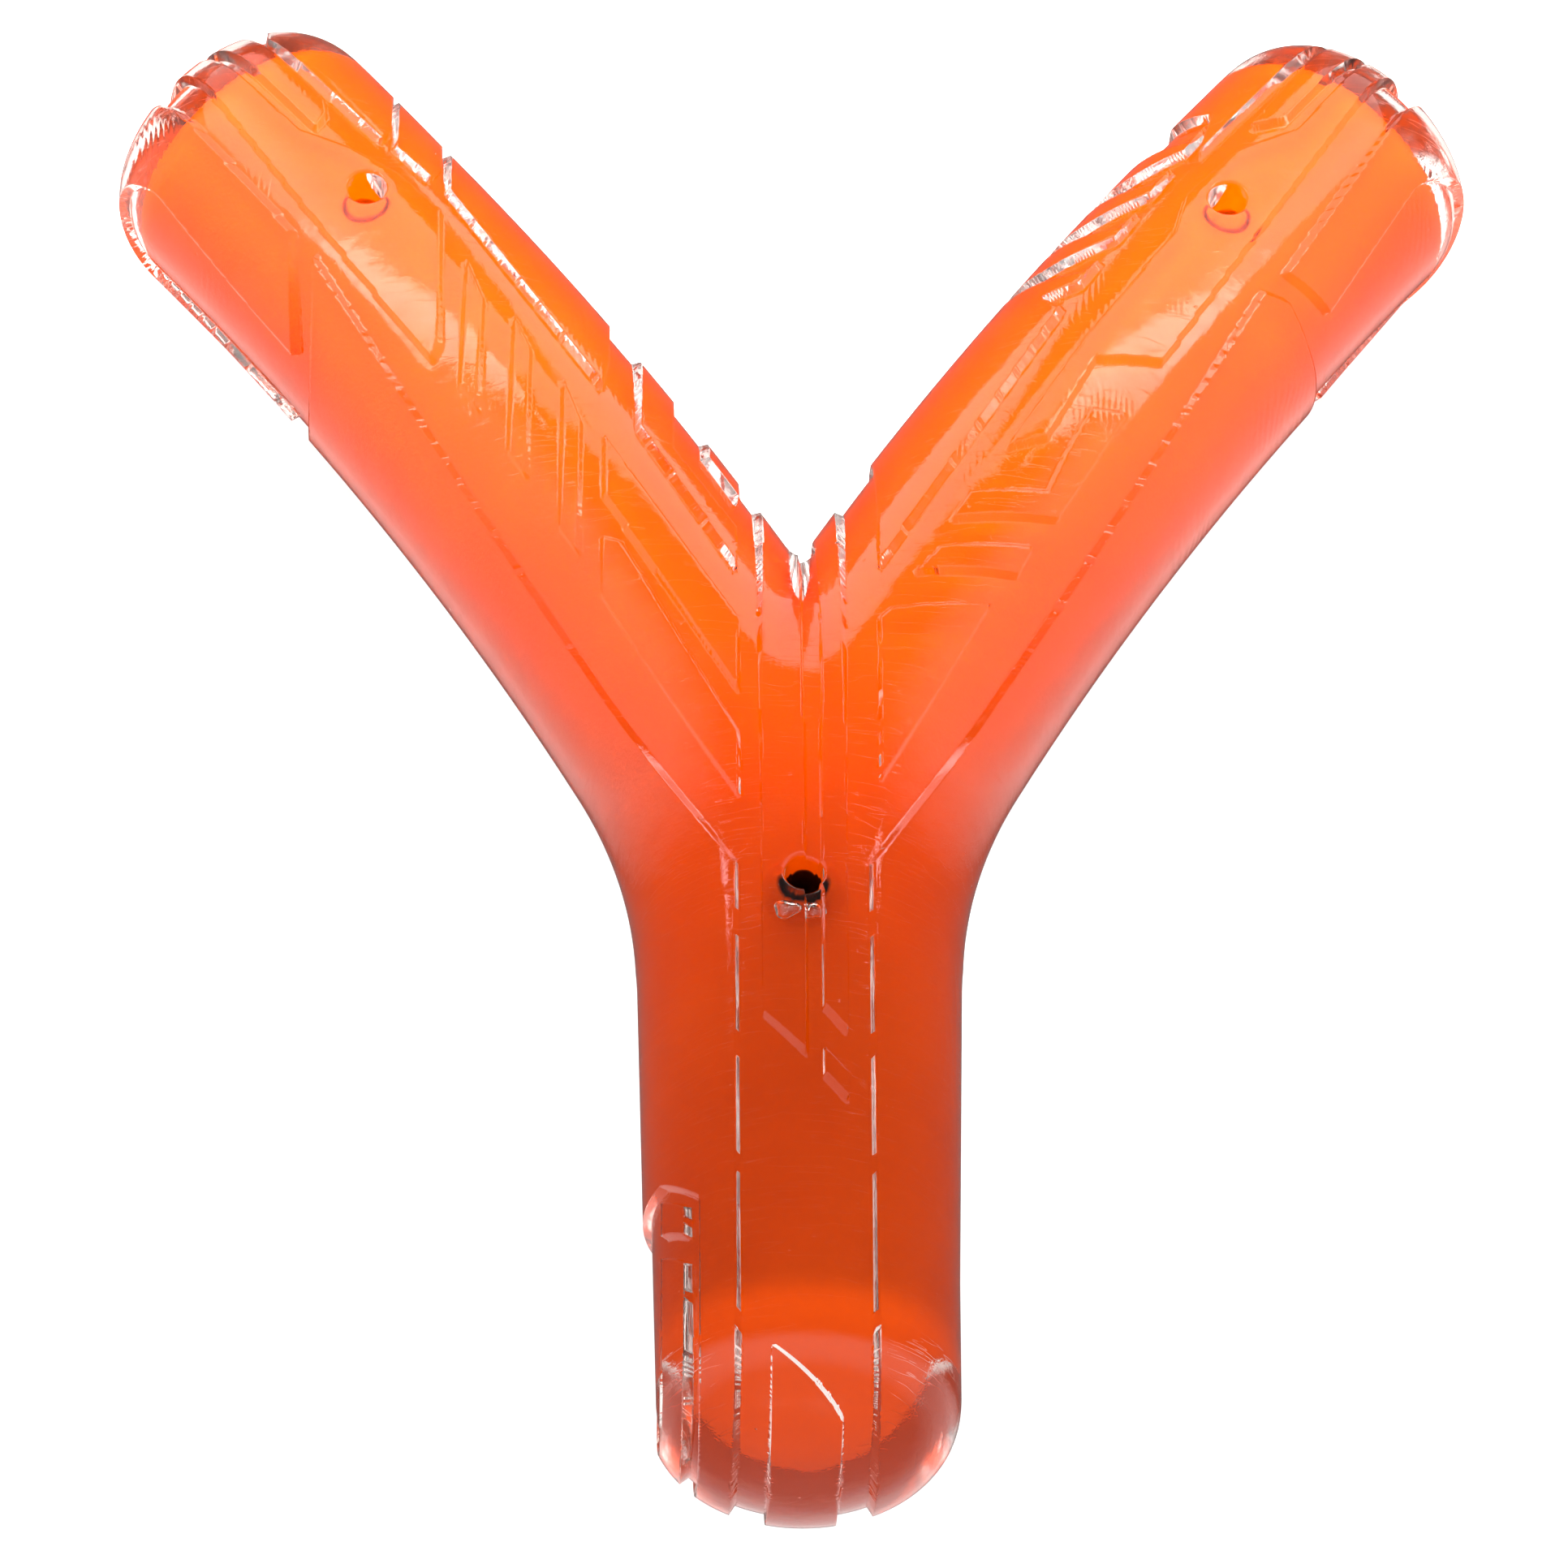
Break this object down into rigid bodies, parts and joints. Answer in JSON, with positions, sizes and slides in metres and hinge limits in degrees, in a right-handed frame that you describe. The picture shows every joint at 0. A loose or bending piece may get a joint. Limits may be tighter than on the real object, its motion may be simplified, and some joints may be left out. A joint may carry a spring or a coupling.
{
  "type": "throwing boomerang",
  "caption": "Flat Y-shaped throwing boomerang: an orange foam core moulded into a clear rubber skin with raised tread panels and through-bores.",
  "frame": {"origin": "on the axis of the junction bore, on the mid-plane of the toy's thickness", "axes": "+Y along the stem towards the fork between the upper arms, X across, +Z out of the front face"},
  "size_m": [0.2146, 0.2628, 0.0482],
  "materials": {
    "shell": "clear glossy thermoplastic rubber with raised tread, fine ripples and scuffs",
    "foam_core": "moulded orange foam with a smooth skin"
  },
  "bodies": {
    "root": {"shell": "shell", "foam_core": "foam_core"}
  },
  "joints": []
}
